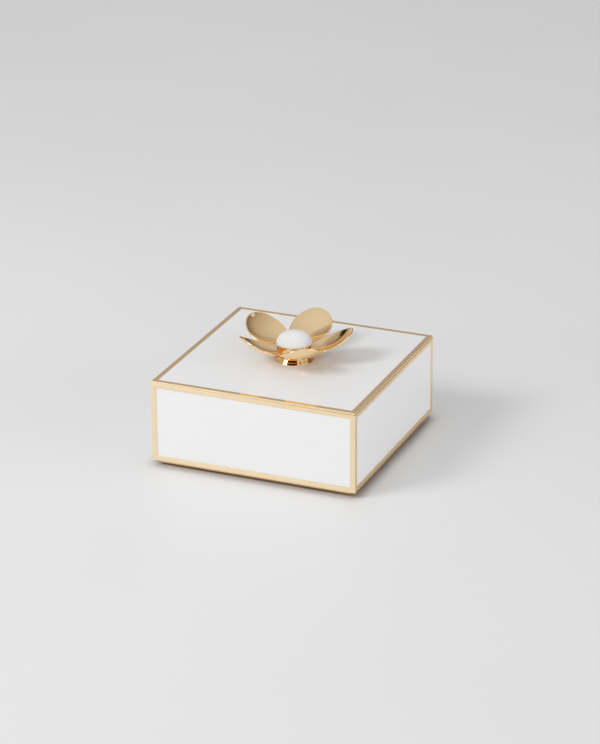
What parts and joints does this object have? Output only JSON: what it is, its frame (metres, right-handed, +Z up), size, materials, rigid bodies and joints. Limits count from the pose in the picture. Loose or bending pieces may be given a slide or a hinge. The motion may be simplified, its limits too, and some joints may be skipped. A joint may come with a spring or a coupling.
{
  "type": "trinket box",
  "caption": "Square gold-framed vanity trinket box with white enamel fields, velvet lining and a lift-off lid with a flower knob.",
  "frame": {"origin": "middle of the base, on the surface that the box stands on", "axes": "+Z up, front side faces -Y, right side faces +X"},
  "size_m": [0.12, 0.12, 0.0686],
  "materials": {
    "gold_plate": "polished, gold plated",
    "gold_flower": "polished, gold plated",
    "white_enamel": "gloss white resin enamel",
    "white_bead": "satin white",
    "velvet": "short velvet pile",
    "felt": "felt",
    "card": "grey board",
    "board": "fibreboard",
    "steel": "plain zinc plated"
  },
  "bodies": {
    "body": {"body_shell": "gold_plate", "front_panel": "white_enamel", "right_panel": "white_enamel", "back_panel": "white_enamel", "left_panel": "white_enamel", "base_plate": "gold_plate", "base_felt": "felt", "base_screws": "steel", "floor_card": "card", "floor_pad": "velvet", "liner_front": "velvet", "liner_right": "velvet", "liner_back": "velvet", "liner_left": "velvet"},
    "lid": {"lid_frame": "gold_plate", "lid_panel": "white_enamel", "lid_board": "board", "lid_lining": "velvet", "stem_washer": "steel", "stem_screw": "steel", "flower_foot": "gold_flower", "flower_hub": "gold_flower", "petal_1": "gold_flower", "petal_2": "gold_flower", "petal_3": "gold_flower", "petal_4": "gold_flower", "petal_5": "gold_flower", "bead": "white_bead", "bead_peg": "steel"}
  },
  "joints": [
    {"name": "lid_lift", "type": "slide", "parent": "body", "child": "lid", "axis": [0, 0, 1], "range_m": [0, 0.06]}
  ]
}
